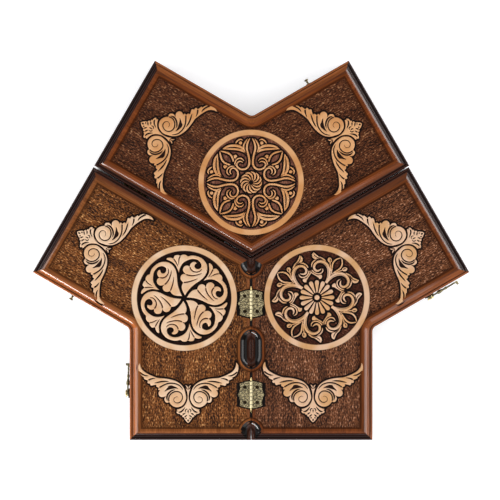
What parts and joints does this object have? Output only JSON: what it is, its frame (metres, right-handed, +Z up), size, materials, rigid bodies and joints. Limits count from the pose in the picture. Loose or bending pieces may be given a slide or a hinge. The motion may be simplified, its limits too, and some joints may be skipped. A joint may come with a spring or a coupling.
{
  "type": "backgammon board",
  "caption": "Folding three-player backgammon board: bent trays with carved outer faces and routed edges, joined by brass hinges and closed by side hooks.",
  "frame": {"origin": "on the table, under the middle of the box round the three open trays; the corner where the trays meet is 12.7 mm from it along -Y", "axes": "+Z up, out of the carved faces; +Y from the corner where the trays meet towards the top tray; +X from the left tray to the right tray"},
  "size_m": [0.7202, 0.6258, 0.0494],
  "materials": {
    "left_panel_wood": "glossy lacquer over dark stain",
    "right_panel_wood": "glossy lacquer over dark stain",
    "top_panel_wood": "glossy lacquer over dark stain",
    "rail_wood": "glossy lacquer over dark stain",
    "field_wood": "satin lacquer",
    "dark_inlay": "satin lacquer",
    "light_inlay": "satin lacquer",
    "hinge_leaf_brass": "antique, chased",
    "hinge_pin_brass": "worn bright",
    "rim_hinge_brass": "satin",
    "screw_brass": "dark antique",
    "hook_bronze": "dark antique",
    "catch_brass": "antique"
  },
  "bodies": {
    "left_board": {"carved_hinge_1_left_leaf": "hinge_leaf_brass", "carved_hinge_1_pin": "hinge_pin_brass", "carved_hinge_2_left_leaf": "hinge_leaf_brass", "carved_hinge_2_pin": "hinge_pin_brass", "carved_hinge_left_screws": "screw_brass", "left_catch_pin": "catch_brass", "left_catch_plate": "catch_brass", "left_dark_points": "dark_inlay", "left_end_rail_lower": "rail_wood", "left_end_rail_upper": "rail_wood", "left_hook_plate": "hook_bronze", "left_hook_screw": "hook_bronze", "left_light_points": "light_inlay", "left_outer_rail_lower": "rail_wood", "left_outer_rail_upper": "rail_wood", "left_panel_lower": "left_panel_wood", "left_panel_upper": "left_panel_wood", "left_playing_field": "field_wood", "left_seam_rail_lower": "rail_wood", "left_seam_rail_upper": "rail_wood", "rim_hinge_1_left_leaf": "rim_hinge_brass", "rim_hinge_1_pin": "rim_hinge_brass", "rim_hinge_2_left_leaf": "rim_hinge_brass", "rim_hinge_2_pin": "rim_hinge_brass", "rim_hinge_left_screws": "screw_brass"},
    "right_board": {"carved_hinge_1_right_leaf": "hinge_leaf_brass", "carved_hinge_2_right_leaf": "hinge_leaf_brass", "carved_hinge_right_screws": "screw_brass", "right_dark_points": "dark_inlay", "right_end_rail_lower": "rail_wood", "right_end_rail_upper": "rail_wood", "right_hook_plate": "hook_bronze", "right_hook_screw": "hook_bronze", "right_light_points": "light_inlay", "right_outer_rail_lower": "rail_wood", "right_outer_rail_upper": "rail_wood", "right_panel_lower": "right_panel_wood", "right_panel_upper": "right_panel_wood", "right_playing_field": "field_wood", "right_seam_rail_lower": "rail_wood", "right_seam_rail_upper": "rail_wood"},
    "left_lever": {"left_hook": "hook_bronze"},
    "right_lever": {"right_hook": "hook_bronze"},
    "top_board": {"rim_hinge_1_top_leaf": "rim_hinge_brass", "rim_hinge_2_top_leaf": "rim_hinge_brass", "rim_hinge_top_screws": "screw_brass", "top_catch_pin": "catch_brass", "top_catch_plate": "catch_brass", "top_dark_points": "dark_inlay", "top_end_rail_left": "rail_wood", "top_end_rail_right": "rail_wood", "top_light_points": "light_inlay", "top_outer_rail_left": "rail_wood", "top_outer_rail_right": "rail_wood", "top_panel_left": "top_panel_wood", "top_panel_right": "top_panel_wood", "top_playing_field": "field_wood", "top_seam_rail_left": "rail_wood", "top_seam_rail_right": "rail_wood"}
  },
  "joints": [
    {"name": "fold_right", "type": "hinge", "parent": "left_board", "child": "right_board", "pos_m": [0, -0.01273, 0.04735], "axis": [0, -1, 0], "range_deg": [0, 180]},
    {"name": "fold_top", "type": "hinge", "parent": "left_board", "child": "top_board", "pos_m": [0.0006, -0.01169, 0.00205], "axis": [-0.866, 0.5, 0], "range_deg": [0, 180]},
    {"name": "right_hook_swing", "type": "hinge", "parent": "right_board", "child": "right_lever", "pos_m": [0.2947, -0.07387, 0.0247], "axis": [0.5, -0.866, 0], "range_deg": [-90, 90]},
    {"name": "left_hook_swing", "type": "hinge", "parent": "left_board", "child": "left_lever", "pos_m": [-0.2003, -0.23737, 0.0247], "axis": [-1, 0, 0], "range_deg": [-114, 66]}
  ]
}
